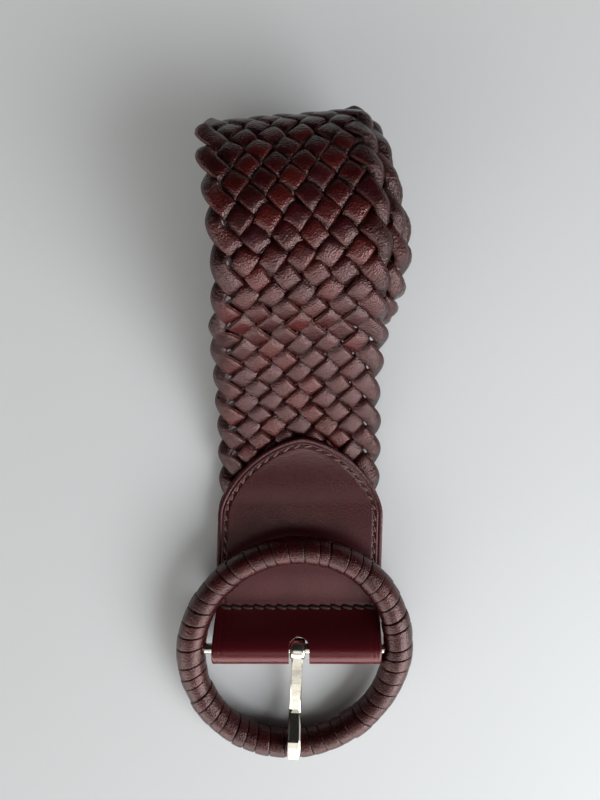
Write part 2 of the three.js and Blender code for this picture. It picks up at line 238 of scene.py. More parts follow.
def loft_faces(rows, sides, start=0, caps=True, wrap_rows=False):
    faces = []
    last = rows if wrap_rows else rows - 1
    for row in range(last):
        a = start + row * sides
        b = start + ((row + 1) % rows) * sides
        for side in range(sides):
            nxt = (side + 1) % sides
            faces.append((a + side, a + nxt, b + nxt, b + side))
    if caps and not wrap_rows:
        faces.append(tuple(start + side for side in reversed(range(sides))))
        faces.append(tuple(start + (rows - 1) * sides + side for side in range(sides)))
    return faces


# Nodes of one material, with short ways to add them. The bump distance is in metres.
BUMP_DISTANCE = 0.0002


class Nodes:
    def __init__(self, name):
        self.material = bpy.data.materials.new(name)
        self.material.use_nodes = True
        self.tree = self.material.node_tree
        self.tree.nodes.clear()
        self.out = self.add("ShaderNodeOutputMaterial")
        self.shader = self.add("ShaderNodeBsdfPrincipled")
        self.link(self.shader.outputs[0], self.out.inputs[0])

    def add(self, kind, **values):
        node = self.tree.nodes.new(kind)
        for key, value in values.items():
            setattr(node, key, value)
        return node

    def link(self, a, b):
        self.tree.links.new(a, b)

    def set(self, socket, value):
        if hasattr(value, "is_output"):
            self.link(value, socket)
        else:
            socket.default_value = value

    def math(self, operation, a, b):
        node = self.add("ShaderNodeMath", operation=operation)
        for socket, value in zip(node.inputs, (a, b)):
            self.set(socket, value)
        return node.outputs[0]

    def value(self, name):
        return self.add("ShaderNodeAttribute", attribute_name=name).outputs["Fac"]

    def object_point(self, scale=(1, 1, 1)):
        source = self.add("ShaderNodeTexCoord").outputs["Object"]
        mapping = self.add("ShaderNodeMapping")
        mapping.inputs["Scale"].default_value = scale
        self.link(source, mapping.inputs["Vector"])
        return mapping.outputs[0]

    def join(self, x, y, z=0.0):
        node = self.add("ShaderNodeCombineXYZ")
        for socket, value in zip(node.inputs, (x, y, z)):
            self.set(socket, value)
        return node.outputs[0]

    def split(self, vector):
        node = self.add("ShaderNodeSeparateXYZ")
        self.link(vector, node.inputs[0])
        return node.outputs

    def noise(self, vector, scale, detail=2.0, roughness=0.5, distortion=0.0):
        node = self.add("ShaderNodeTexNoise")
        self.link(vector, node.inputs["Vector"])
        node.inputs["Scale"].default_value = scale
        node.inputs["Detail"].default_value = detail
        node.inputs["Roughness"].default_value = roughness
        node.inputs["Distortion"].default_value = distortion
        return node.outputs["Fac"]

    def cells(self, vector, scale):
        node = self.add("ShaderNodeTexVoronoi")
        self.link(vector, node.inputs["Vector"])
        node.inputs["Scale"].default_value = scale
        return node.outputs["Distance"]

    def spread(self, value, low, high, to_low=0.0, to_high=1.0):
        node = self.add("ShaderNodeMapRange", interpolation_type="SMOOTHSTEP")
        for socket, number in zip(node.inputs, (value, low, high, to_low, to_high)):
            self.set(socket, number)
        return node.outputs[0]

    def mix(self, factor, a, b):
        node = self.add("ShaderNodeMix", data_type="RGBA")
        self.set(node.inputs[0], factor)
        self.set(node.inputs[6], a)
        self.set(node.inputs[7], b)
        return node.outputs[2]

    def bump(self, height, strength):
        node = self.add("ShaderNodeBump")
        node.inputs["Strength"].default_value = strength
        node.inputs["Distance"].default_value = BUMP_DISTANCE
        self.link(height, node.inputs["Height"])
        return node.outputs[0]


# Leather. Colours are linear, and each look changes the plain leather's colour, relief or roughness.
STRAND_RED = (0.060, 0.0055, 0.0040, 1)
STRAND_PLUM = (0.020, 0.0026, 0.0060, 1)
# Painted shade on the strands' turns at the edges of the strap.
TURN_SHADE = (0.012, 0.0010, 0.0014, 1)
# Painted shade on the strands' ends where they dive under the others.
CREASE_SHADE = (0.006, 0.0010, 0.0012, 1)
CUT_EDGE = (0.10, 0.030, 0.022, 1)
# Painted shade in the seams of the wound thong.
SEAM_SHADE = (0.004, 0.0008, 0.0010, 1)
# Painted shade at the tab's tip.
TAB_TIP_SHADE = (0.016, 0.0016, 0.0030, 1)
TAB_FOLD = (0.074, 0.0066, 0.0100, 1)
SHEEN_TINT = (1.0, 0.70, 0.68, 1)
SHEEN_LEVEL = 0.55


# Each strand has its own tone and lengthwise creases that deepen at the turns. Painted shade darkens its
# turns at the edges and its ends where it dives under the others.
def strand_look(n, colour, height):
    cell, strand, turning = n.value("cell"), n.value("strand"), n.value("turning")
    offset = n.math("MULTIPLY", strand, 37)
    across = n.math("MULTIPLY", n.value("across"), 0.28)
    lines = n.join(n.math("ADD", n.value("along"), offset), across, offset)
    depth = n.math("ADD", n.math("MULTIPLY", turning, 3.4), 0.9)
    height = n.math("ADD", height, n.math("MULTIPLY", n.noise(lines, 1.5, 3, 0.6, 0.5), depth))
    blend = n.math("ADD", n.math("MULTIPLY", cell, 0.55), n.math("MULTIPLY", strand, 0.45))
    for factor, share, tone in (
        (n.spread(blend, 0.45, 0.8), 0.5, STRAND_RED),
        (n.spread(cell, 0.25, 0.05), 0.4, STRAND_PLUM),
        # painted shade on the turns at the edges
        (n.spread(turning, 0.2, 0.9), 0.6, TURN_SHADE),
        # painted shade where the strand dives under the others
        (n.spread(n.value("hump"), 0.9, -0.2), 0.85, CREASE_SHADE),
        (n.value("cut"), 0.6, CUT_EDGE),
    ):
        colour = n.mix(n.math("MULTIPLY", factor, share), colour, tone)
    return colour, height


# Each turn of the thong has painted shade in its seam and is creased round the ring.
def wound_look(n, colour, height):
    groove = n.spread(n.value("groove"), 0.35, 0.95)
    # painted shade in the seam
    colour = n.mix(n.math("MULTIPLY", groove, 0.8), colour, SEAM_SHADE)
    lines = n.join(n.value("along"), n.math("MULTIPLY", n.value("side"), 3.0), n.value("cell"))
    return colour, n.math("ADD", height, n.math("MULTIPLY", n.noise(lines, 1.1, 3, 0.6, 0.4), 1.1))


# The tab has painted shade at its tip, is worn dull towards the straight stitches, and is red and glossy
# round the fold.
def tab_look(n, point, colour, rough):
    y = n.split(point)[1]
    tip = n.spread(y, 0.012, 0.034)
    fold = n.spread(y, -0.0176, -0.0192)
    # painted shade towards the tip
    colour = n.mix(n.math("MULTIPLY", tip, 0.75), colour, TAB_TIP_SHADE)
    worn = n.math("MULTIPLY", n.spread(y, 0.024, -0.010, 0.0, 0.36), n.math("SUBTRACT", 1, fold))
    rough = n.math("SUBTRACT", n.math("ADD", rough, worn), n.math("MULTIPLY", tip, 0.04))
    return n.mix(fold, colour, TAB_FOLD), rough


def leather_material(name, deep, warm, roughness, grain, kind):
    n = Nodes(name)
    point = n.object_point()
    patches = n.noise(point, 110, 3)
    speckle = n.noise(point, 1100, 3, 0.6)
    tone = n.math("ADD", n.math("MULTIPLY", patches, 0.6), n.math("MULTIPLY", speckle, 0.4))
    colour = n.mix(n.spread(tone, 0.36, 0.66), deep, warm)
    rough = n.spread(tone, 0.3, 0.7, roughness + 0.05, roughness - 0.05)
    pores = n.math("MULTIPLY", n.cells(point, 1900), 1.1 * grain)
    height = n.math("ADD", pores, n.math("MULTIPLY", n.noise(point, 3600, 2), 0.5 * grain))
    if kind == "strand":
        colour, height = strand_look(n, colour, height)
    elif kind == "wound":
        colour, height = wound_look(n, colour, height)
    else:
        colour, rough = tab_look(n, point, colour, rough)
    n.link(colour, n.shader.inputs["Base Color"])
    n.link(rough, n.shader.inputs["Roughness"])
    n.shader.inputs["Specular IOR Level"].default_value = SHEEN_LEVEL
    n.shader.inputs["Specular Tint"].default_value = SHEEN_TINT
    n.link(n.bump(height, 0.62), n.shader.inputs["Normal"])
    return n.material


def metal_material(name):
    n = Nodes(name)
    point = n.object_point()
    cloud = n.noise(point, 220, 3)
    colour = n.mix(n.spread(cloud, 0.35, 0.7), (0.70, 0.67, 0.58, 1), (0.82, 0.79, 0.70, 1))
    n.link(colour, n.shader.inputs["Base Color"])
    n.shader.inputs["Metallic"].default_value = 1
    scratches = n.noise(n.object_point((1, 0.06, 1)), 5200, 2)
    n.link(n.spread(scratches, 0.3, 0.8, 0.17, 0.26), n.shader.inputs["Roughness"])
    n.link(n.bump(cloud, 0.15), n.shader.inputs["Normal"])
    return n.material


def thread_material(name, deep, pale, roughness=0.55):
    n = Nodes(name)
    point = n.object_point()
    ply = n.noise(point, 2400, 2)
    n.link(n.mix(ply, deep, pale), n.shader.inputs["Base Color"])
    n.shader.inputs["Roughness"].default_value = roughness
    n.link(n.bump(ply, 0.5), n.shader.inputs["Normal"])
    return n.material


braid_material = leather_material(
    "braid_leather", (0.013, 0.0012, 0.0017, 1), (0.034, 0.0028, 0.0032, 1), 0.18, 1.0, "strand")
tab_material = leather_material(
    "tab_leather", (0.036, 0.0030, 0.0058, 1), (0.050, 0.0048, 0.0084, 1), 0.20, 0.35, "tab")
wrap_material = leather_material(
    "wrap_leather", (0.018, 0.0020, 0.0027, 1), (0.042, 0.0050, 0.0052, 1), 0.24, 0.6, "wound")
metal = metal_material("polished_metal")
thread = thread_material("tab_thread", (0.045, 0.014, 0.012, 1), (0.17, 0.070, 0.056, 1))
dark_thread = thread_material("fold_thread", (0.010, 0.004, 0.004, 1), (0.055, 0.022, 0.020, 1))
# Near-black finish for the pieces that paint the shade in the stitch holes.
hole_shade_material = thread_material("hole_shade_finish", (0.002, 0.0006, 0.0006, 1), (0.006, 0.0015, 0.0015, 1), 0.9)


# Braid. Places along the strap where strands turn at its edge, and how many turns came before.
PHASE_ROWS = np.array([
    (2, 0), (50.6, 4.5), (61.2, 5.5), (72.1, 6.5), (82.9, 7.5), (94.0, 8.5), (105.2, 9.5), (116.4, 10.5),
    (127.4, 11.5), (138.8, 12.5), (149.4, 13.5), (159.4, 14.5), (169.8, 15.5), (2039.8, 185.5),
])
HUMP = 0.94
HUMP_SHARPNESS = 2.1
STRAND_COVER = 0.88
TURN_LEAN = 0.95
TURN_ROUNDING = 0.40
TURN_NARROWING = 0.24
STRAND_END_SHARE = 0.4

# Loose turns at the left edge, high on the back of the roll: strand, phase, push outwards, lift.
LOOSE_TURNS = ((3, 15, 0.7, 1.0), (4, 16, 1.0, 1.2))


def place_of(phase):
    return np.interp(phase, PHASE_ROWS[:, 1], PHASE_ROWS[:, 0])


def phase_of(place):
    return np.interp(place, PHASE_ROWS[:, 0], PHASE_ROWS[:, 1])


# Where a strand is across the strap, from -1 to 1, by pitches along it from a turn at the left edge. It
# crosses to the right edge and back in as many pitches as there are strands, with rounded turns.
def zigzag(q):
    def rounded(distance):
        e = TURN_ROUNDING
        return np.where(distance < e, distance * distance / (2 * e) + e / 2, distance)

    crossing = STRANDS / 2
    r = np.mod(q, STRANDS)
    from_left = rounded(np.minimum(r, STRANDS - r))
    from_right = rounded(crossing - from_left)
    return -1 + (crossing - from_right) / (crossing / 2)


# How far a strand stands out, from -1 under the others to 1 over them. It changes once a pitch, and comes up
# over the others in its right turn and goes under them in its left one.
def hump(q):
    r = np.mod(q - 0.5, STRANDS)
    wave = np.where(r < 5, np.cos(2 * np.pi * (r + 0.5)), -np.cos(2 * np.pi * (r - 5.5)))
    wave = np.tanh(HUMP_SHARPNESS * wave) / math.tanh(HUMP_SHARPNESS)
    right = -1 + 2 * smooth((r - 5 - 0.14) / 0.5)
    left = 1 - 2 * smooth((r - 11 - 0.42) / 0.5)
    wave = np.where((r >= 5) & (r < 6), right, wave)
    return np.where(r >= 11, left, wave)


# One value for every so many pitches along a strand, joined smoothly.
def wander(phase, per_pitch, amount):
    count = int(phase[-1] * per_pitch) + 4
    knots = rng.normal(size=count) * amount
    at = phase * per_pitch
    low = np.floor(at).astype(int)
    share = smooth(at - low)
    return knots[low] * (1 - share) + knots[low + 1] * share


# A strand's section from its left edge over the top: share of the half width, and height in millimetres.
STRAND_SECTION = np.array([
    (-1.0, 0.10), (-0.98, 0.42), (-0.93, 0.53), (-0.55, 0.56), (0, 0.57), (0.55, 0.56), (0.93, 0.53),
    (0.98, 0.42), (1.0, 0.10), (1.0, -0.34), (1.13, -0.44), (1.05, -0.55), (0, -0.56), (-1.05, -0.55),
    (-1.13, -0.44), (-1.0, -0.34),
])
EDGE_MARGIN = 1.9

# Strands start and end out of sight, and have fine steps as far as FINE_ROLL into the roll.
HIDDEN_START = 8
HIDDEN_END = 2
FINE_ROLL = 260
FINE_STEP = 1 / 16
COARSE_STEP = 1 / 8
CELL_TONES = 600


# Where one strand runs: its places along and across the strap, how wide it is, and how far it is lifted.
def strand_route(index, phase, turning):
    place = place_of(phase)
    half = width_at(place) / 2
    pitch = np.gradient(place, phase)
    spread = half - EDGE_MARGIN
    ribbon = STRAND_COVER * pitch * (spread / 3) / np.hypot(pitch, spread / 3)
    ribbon = ribbon * (1 + wander(phase, 1.5, 0.035)) * (1 - TURN_NARROWING * turning)
    shift = 1 - 0.5 * turning
    across = zigzag(phase - index) * (half - ribbon / 2 + spread * TURN_ROUNDING / 6)
    across = across + wander(phase, 1.0, 0.16) * shift
    along = place + wander(phase, 1.0, 0.30) * shift
    lifted = 0 * phase
    for strand, turn, push, lift in LOOSE_TURNS:
        if strand == index:
            near = np.exp(-((phase - turn) / 0.38) ** 2)
            across = across - push * near
            lifted = lifted + lift * near
    return along, across, ribbon, lifted


def make_strand(index):
    outer_end = phase_of(ramp_end + FINE_ROLL)
    phase = np.concatenate([
        np.arange(phase_of(HIDDEN_START), outer_end, FINE_STEP),
        np.arange(outer_end, phase_of(path_length - HIDDEN_END), COARSE_STEP),
    ])
    q = phase - index
    turning = np.exp(-((np.mod(q + 3, 6) - 3) / 0.42) ** 2)
    along, across, ribbon, lifted = strand_route(index, phase, turning)
    rate_p = np.gradient(along, phase)
    rate_a = np.gradient(across, phase)
    size = np.hypot(rate_p, rate_a)
    twist = wander(phase, 2.0, 0.075)
    out = HUMP * hump(q) * (1 + wander(phase, 2.0, 0.05)) + wander(phase, 2.0, 0.05) + lifted
    rows, sides = len(phase), len(STRAND_SECTION)
    share, level = STRAND_SECTION.T[:, None, :]
    side = share * ribbon[:, None] / 2
    curl = 0.13 * (1 - share ** 2) - 0.10 * share ** 4
    dome = np.where(level > 0, curl * (1 + 2.2 * turning[:, None]), 0)
    lean = TURN_LEAN * (turning * np.cos(np.pi * q / 6))[:, None] * share
    pressed = STRAND_END_SHARE + (1 - STRAND_END_SHARE) * smooth((place_of(phase) - 7) / 9)
    points = strap_point(
        along[:, None] - (rate_a / size)[:, None] * side,
        across[:, None] + (rate_p / size)[:, None] * side,
        (out[:, None] + level + dome + lean + side * twist[:, None]) * pressed[:, None],
    )
    cell = np.floor(q * 2 - 0.5).astype(int)
    travelled = np.concatenate([[0], np.cumsum(np.hypot(np.diff(along), np.diff(across)))])
    attributes = {
        "along": np.repeat(travelled, sides),
        "across": side.ravel(),
        "cell": np.repeat(rng.rand(CELL_TONES)[cell % CELL_TONES], sides),
        "strand": np.full(rows * sides, rng.rand()),
        "turning": np.repeat(turning, sides),
        "cut": np.tile((np.abs(np.abs(STRAND_SECTION[:, 0]) - 1) < 0.01).astype(float), rows),
        "hump": np.repeat(hump(q), sides),
    }
    faces = loft_faces(rows, sides)
    obj = make_mesh(f"strand_{index + 1:02d}", points.reshape(-1, 3), faces, attributes)
    obj.data.materials.append(braid_material)
    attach(obj, "strap")
    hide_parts("braided_strap")


for strand_index in range(STRANDS):
    make_strand(strand_index)


# Tab. Its arch as points at even distances, from the right side over the tip to the left.
def arch_outline(count):
    angle = np.linspace(0, math.pi, count)
    c, s = np.cos(angle), np.sin(angle)
    k = 2 / TAB_ARCH_POWER
    x = np.sign(c) * np.abs(c) ** k * TAB_WIDTH / 2
    y = np.abs(s) ** k * TAB_ARCH
    dense = np.stack([x, y], axis=-1)
    length = np.concatenate([[0], np.cumsum(np.linalg.norm(np.diff(dense, axis=0), axis=1))])
    even = np.linspace(0, length[-1], count)
    return np.stack([np.interp(even, length, dense[:, 0]), np.interp(even, length, dense[:, 1])], axis=-1)


# The tab's face from its rim inwards: distance in from the rim, and level from the face.
RIM_OUTER = [
    (0.0, -0.55), (0.10, -0.28), (0.32, -0.10), (0.7, -0.02), (1.15, -0.01), (1.42, -0.10), (1.6, -0.30),
    (1.8, -0.08), (2.1, 0.0), (2.4, -0.02), (2.65, -0.16), (3.0, -0.26), (3.35, -0.16), (3.6, 0.02),
    (4.2, 0.04), (5.2, 0.0),
]
RIM_INNER = [(0.0, -0.5), (0.25, -0.1), (0.9, 0.0), (3.6, 0.0)]
STITCH_INSET = 3.0
STITCH_PITCH = 4.0
DIP_DEPTH = 2.4
DIP_START = 12.0
ARCH_STEPS = 120
INNER_SHARES = np.linspace(1, 0, 27)[1:-1]
FLAT_ROWS = 60
FIRST_BEND_ROWS = 26
FOLD_STITCH_Y = -19.7
FOLD_SEAM = 0.34
HALF_LEATHER = TAB_LEATHER / 2
arch_start = TAB_LENGTH - TAB_ARCH


# The upper layer is drawn down towards the row of stitches beside the bar.
def dip_at(place):
    return DIP_DEPTH * max(0.0, (DIP_START - place) / DIP_START) ** 1.8


def fold_curve():
    """Middle line of the leather from the upper layer at the stitches, round the bar, to the lower layer."""
    radius = LOOP_RADIUS + TAB_LEATHER / 2
    start = math.radians(FOLD_START)
    end = math.radians(FOLD_END)
    arc = [
        (bar_place + radius * math.cos(a), bar_level + radius * math.sin(a))
        for a in np.linspace(start, end, 40)
    ]
    upper = (stitch_place, strap_level + layer_offset - dip_at(0.0))
    lower = (stitch_place, strap_level - layer_offset)

    def bridge(p, heading_p, q, heading_q, pull_p, pull_q, count):
        t = np.linspace(0, 1, count)[:, None]
        p, q = np.array(p), np.array(q)
        a, b = p + np.array(heading_p) * pull_p, q - np.array(heading_q) * pull_q
        return (1 - t) ** 3 * p + 3 * (1 - t) ** 2 * t * a + 3 * (1 - t) * t ** 2 * b + t ** 3 * q

    heading_start = (-math.sin(start), math.cos(start))
    heading_end = (-math.sin(end), math.cos(end))
    first = bridge(upper, (-1, 0), arc[0], heading_start, 4.0, 6.0, FIRST_BEND_ROWS)
    second = bridge(arc[-1], heading_end, lower, (1, 0), 4.5, 4.5, 20)
    return np.concatenate([first, np.array(arc)[1:], second[1:]])


def fold_normals(curve):
    tangent = np.gradient(curve, axis=0)
    tangent /= np.linalg.norm(tangent, axis=1)[:, None]
    return np.stack([tangent[:, 1], -tangent[:, 0]], axis=-1)


def inward_normals(outline):
    inward = -fold_normals(outline)
    inward[0], inward[-1] = (-1, 0), (1, 0)
    return inward


# Rings of the arch from its rim inwards, each with its level.
def arch_rings(rim):
    outline = arch_outline(ARCH_STEPS + 1)
    inward = inward_normals(outline)
    rings = [(outline + inward * distance, level) for distance, level in rim]
    inner, level = rings[-1]
    return rings + [(inner * share, level) for share in INNER_SHARES]


# Columns across the tab's straight part, which meet the arch's rings, each with its level.
def face_columns(rim):
    right = [(TAB_WIDTH / 2 - distance, level) for distance, level in rim]
    inner, level = right[-1]
    right += [(inner * share, level) for share in INNER_SHARES]
    left = [(-x, level) for x, level in reversed(right)]
    return np.array(right + [(0.0, level)] + left).T


# Rows of one side of the leather, from the arch's foot on top, round the fold, to its foot below.
def face_rows(x, level, sign):
    raise_by = layer_offset + sign * (HALF_LEATHER + level)

    def flat_row(place, out, dip):
        shift = np.stack(np.broadcast_arrays(x, 0.0, -dip), axis=-1)
        return strap_point(np.full(len(x), place), 0 * x, out, skewed=False) + shift

    places = np.linspace(arch_start, 0, FLAT_ROWS)
    rows = [flat_row(place, raise_by, dip_at(place)) for place in places]
    curve = fold_curve()
    normals = fold_normals(curve)
    near_rim = TAB_WIDTH / 2 - np.abs(x) < 1.2
    for k in range(1, len(curve) - 1):
        seamed = sign > 0 and k < FIRST_BEND_ROWS
        seam = FOLD_SEAM * math.exp(-((curve[k][0] - FOLD_STITCH_Y) / 0.6) ** 2) if seamed else 0
        offset = sign * (HALF_LEATHER + np.where(near_rim, level, 0.2 * level)) - seam
        y, z = curve[k][:, None] + normals[k][:, None] * offset
        rows.append(np.stack([x + lean_at(curve[k][0]), y, z], axis=-1))
    return np.array(rows + [flat_row(place, -raise_by, 0.0) for place in places[::-1]])


class TabMesh:
    def __init__(self):
        self.points = []
        self.faces = []

    def put(self, array):
        start = len(self.points)
        self.points.extend(np.asarray(array).reshape(-1, 3).tolist())
        return start

    def face(self, corners, turned):
        self.faces.append(corners[::-1] if turned else corners)

    def bridge(self, near, far, turned):
        for k in range(len(near) - 1):
            self.face((near[k], near[k + 1], far[k + 1], far[k]), turned)

    def cap(self, rings, edge, turned):
        """One arch, from its rim in to the middle of the row that it shares with the straight part."""
        ids = []
        for k, ring in enumerate(rings):
            first = self.put(ring[1:-1])
            ids.append([edge[k], *range(first, first + ARCH_STEPS - 1), edge[-1 - k]])
        for near, far in zip(ids, ids[1:]):
            self.bridge(near, far, turned)
        for a, b in zip(ids[-1], ids[-1][1:]):
            self.face((a, b, edge[len(rings)]), turned)
        return ids[0]

    def side(self, rim, sign):
        """One whole side of the leather, outer with sign 1 and inner with sign -1. Returns its four rims."""
        x, level = face_columns(rim)
        rows = face_rows(x, level, sign)
        ids = self.put(rows) + np.arange(rows.shape[0] * rows.shape[1]).reshape(rows.shape[:2])
        for near, far in zip(ids, ids[1:]):
            self.bridge(near, far, sign < 0)
        arches = []
        for layer, edge in ((1, ids[0]), (-1, ids[-1])):
            rings = []
            for outline, ring_level in arch_rings(rim):
                out = layer * (layer_offset + sign * (HALF_LEATHER + ring_level))
                ring = strap_point(arch_start + outline[:, 1], 0 * outline[:, 0], out, skewed=False)
                ring[:, 0] += outline[:, 0]
                rings.append(ring)
            arches.append(self.cap(rings, edge, layer != sign))
        return ids[:, 0], ids[:, -1], *arches


def build_tab():
    mesh = TabMesh()
    outer = mesh.side(RIM_OUTER, 1)
    inner = mesh.side(RIM_INNER, -1)
    for outer_rim, inner_rim, turned in zip(outer, inner, (False, True, True, False)):
        mesh.bridge(outer_rim, inner_rim, turned)
    return mesh.points, mesh.faces


def cut_with(obj, cutter):
    modifier = obj.modifiers.new("cut", "BOOLEAN")
    modifier.operation = "DIFFERENCE"
    modifier.solver = "EXACT"
    modifier.object = cutter
    depsgraph = bpy.context.evaluated_depsgraph_get()
    cut = bpy.data.meshes.new_from_object(obj.evaluated_get(depsgraph))
    obj.modifiers.clear()
    obj.data = cut
    bpy.data.objects.remove(cutter)


def make_slot_cutter():
    radius = SLOT_WIDTH / 2
    front = -(LOOP_RADIUS + 2 * TAB_LEATHER)
    angles = np.linspace(0, math.pi, 25)
    arc = [(radius * math.cos(a), SLOT_REACH - radius + radius * math.sin(a)) for a in angles]
    outline = [(radius, front)] + arc + [(-radius, front)]
    low = [(SLOT_SLIDE + x, bar_place + y, -1.0) for x, y in outline]
    high = [(x, y, 2 * bar_level) for x, y, _ in low]
    return make_mesh("slot_cutter", low + high, loft_faces(2, len(outline)))


tab_vertices, tab_faces = build_tab()
tab = make_mesh("tab_body", tab_vertices, tab_faces)
cut_with(tab, make_slot_cutter())
tab.data.materials.clear()
tab.data.materials.append(tab_material)
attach(tab, "strap")
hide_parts("buckle_tab")


# Stitches. Each is a short rounded piece of thread lying on the leather.
CAPSULE_SIDES = 10
CAPSULE_ROWS = 9


def capsule(centre, along, up, length, width, height):
    along = along / np.linalg.norm(along)
    across = np.cross(up, along)
    across /= np.linalg.norm(across)
    up = np.cross(along, across)
    t = np.linspace(-1, 1, CAPSULE_ROWS)
    swell = np.sqrt(np.maximum(1 - np.abs(t) ** 2.6, 0.0)) + 0.02
    angle = np.arange(CAPSULE_SIDES) / CAPSULE_SIDES * 2 * np.pi
    points = (
        centre
        + (t * length / 2)[:, None, None] * along
        + (swell[:, None] * np.cos(angle) * width / 2)[..., None] * across
        + (swell[:, None] * np.sin(angle) * height / 2)[..., None] * up
    )
    return points.reshape(-1, 3)


def join_capsules(name, items, material):
    points, faces = [], []
    for item in items:
        faces += loft_faces(CAPSULE_ROWS, CAPSULE_SIDES, start=len(points) * CAPSULE_ROWS * CAPSULE_SIDES)
        points.append(capsule(*item))
    obj = make_mesh(name, np.concatenate(points), faces)
    obj.data.materials.append(material)
    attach(obj, "strap")
    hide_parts("buckle_tab")


# A point on the tab's face with the directions forward along the tab and out from it.
def tab_face(x, place):
    ends = []
    for at in (place, place + 0.5):
        end = strap_point(np.array([at]), np.array([0.0]), layer_offset + HALF_LEATHER, skewed=False)[0]
        ends.append(end + np.array([x, 0, -dip_at(at)]))
    base, ahead = ends
    forward = (ahead - base) / np.linalg.norm(ahead - base)
    return base, forward, np.cross(np.array([1.0, 0, 0]), forward)


def arch_stitch_line():
    outline = arch_outline(401)
    line = outline + inward_normals(outline) * STITCH_INSET
    line[:, 1] += arch_start
    side = TAB_WIDTH / 2 - STITCH_INSET
    down = np.linspace(1.5, arch_start - 0.5, 40)
    right = np.stack([np.full(40, side), down], axis=-1)
    left = np.stack([np.full(40, -side), down[::-1]], axis=-1)
    return np.concatenate([right, line, left])


# Raised threads, and near-black pieces between them that paint the shade in the stitch holes: slant in
# degrees, how deep, and length, width and height.
RAISED_STITCH = (20, 0.10, (2.7, 0.85, 0.8))
STITCH_HOLE_SHADE = (32, 0.22, (1.7, 0.75, 0.3))


def stitch_on_line(at, line, length, slant, sink, size):
    def point(distance):
        return np.array([np.interp(distance, length, line[:, axis]) for axis in (0, 1)])

    x, place = point(at)
    step = point(at + 0.3) - point(at - 0.3)
    turn = math.atan2(step[1], step[0]) + math.radians(slant)
    base, forward, normal = tab_face(x, place)
    direction = np.array([1.0, 0, 0]) * math.cos(turn) + forward * math.sin(turn)
    return (base - normal * sink, direction, normal, *size)


def make_arch_stitches():
    line = arch_stitch_line()
    length = np.concatenate([[0], np.cumsum(np.linalg.norm(np.diff(line, axis=0), axis=1))])
    count = int(round(length[-1] / STITCH_PITCH))
    pitch = length[-1] / count
    middles = [(k + 0.5) * pitch + rng.normal() * 0.12 for k in range(count)]
    between = [middle + 0.5 * pitch for middle in middles]
    raised = [stitch_on_line(at, line, length, *RAISED_STITCH) for at in middles if at <= length[-1]]
    # Near-black pieces between the threads paint the shade in the stitch holes.
    holes = [stitch_on_line(at, line, length, *STITCH_HOLE_SHADE) for at in between if at <= length[-1]]
    join_capsules("arch_stitches", raised, thread)
    join_capsules("arch_hole_shade_pieces", holes, hole_shade_material)


make_arch_stitches()


FOLD_STITCHES = 14
FOLD_STITCH_MARGIN = 1.5


def make_fold_stitches():
    curve = fold_curve()
    normals = fold_normals(curve)
    face = curve + normals * HALF_LEATHER
    step = int(np.argmin(np.abs(face[:FIRST_BEND_ROWS, 0] - FOLD_STITCH_Y)))
    up = np.array([0.0, *normals[step]])
    level = face[step][1]
    pitch = (TAB_WIDTH - 2 * FOLD_STITCH_MARGIN) / FOLD_STITCHES
    threads, puckers = [], []
    for k in range(FOLD_STITCHES):
        x = -TAB_WIDTH / 2 + FOLD_STITCH_MARGIN + (k + 0.5) * pitch + rng.normal() * 0.1
        lean = math.radians(-12 + rng.normal() * 3)
        direction = np.array([math.cos(lean), math.sin(lean), 0.0])
        centre = np.array([x + lean_at(FOLD_STITCH_Y), FOLD_STITCH_Y, level - 0.10])
        threads.append((centre, direction, up, pitch * 1.06, 1.45, 0.9))
        below = centre + np.array([pitch * 0.42, -1.15, 0.06])
        puckers.append((below, np.array([1.0, 0.25, 0.0]), up, pitch * 0.62, 0.75, 0.5))
    join_capsules("fold_stitches", threads, dark_thread)
    join_capsules("fold_puckers", puckers, tab_material)


make_fold_stitches()


# Buckle, in the ring's own plane about the bar.
buckle_place = Matrix.Translation((RING_SLIDE, bar_place, bar_level)) @ Matrix.Rotation(ring_tilt, 4, "X")


def place_buckle(points):
    rotation = np.array(buckle_place.to_3x3())
    return np.asarray(points) @ rotation.T + np.array(buckle_place.translation)


def ring_point(around, tube, radius):
    reach = ring_radius + radius * np.cos(tube)
    along = reach * np.sin(around)
    parts = (reach * np.cos(around) + RING_OVAL * along, along, radius * np.sin(tube))
    return np.stack(np.broadcast_arrays(*parts), axis=-1)


# One turn of the thong, in shares of it: where its rows lie, its relief in millimetres, and how much painted
# shade its seam gets.
TURN_ROWS = np.array([0, 0.08, 0.2, 0.38, 0.56, 0.72, 0.82, 0.88, 0.92, 0.95, 1.0])
TURN_RELIEF = np.array([
    (0, 0.12), (0.25, 0.15), (0.5, 0.15), (0.72, 0.12), (0.82, 0.09), (0.88, 0.05), (0.92, -0.10),
    (0.95, -0.46), (0.98, -0.30), (1.0, 0.05),
])
TURN_GROOVE = np.array([(0, 0.5), (0.02, 0), (0.86, 0), (0.93, 1), (0.97, 1), (1.0, 0.5)])
ROWS_PER_TURN = 20
WRAP_SIDES = 36


def wrap_faces(rows):
    faces = []
    for row in range(rows):
        for side in range(WRAP_SIDES):
            near = row * WRAP_SIDES + side
            far = (row + 1) % rows * WRAP_SIDES + side
            if side < WRAP_SIDES - 1:
                faces.append((near, near + 1, far + 1, far))
            else:
                ahead = [(row + ROWS_PER_TURN + step) % rows * WRAP_SIDES for step in (0, 1)]
                faces.append((near, *ahead, far))
    return faces


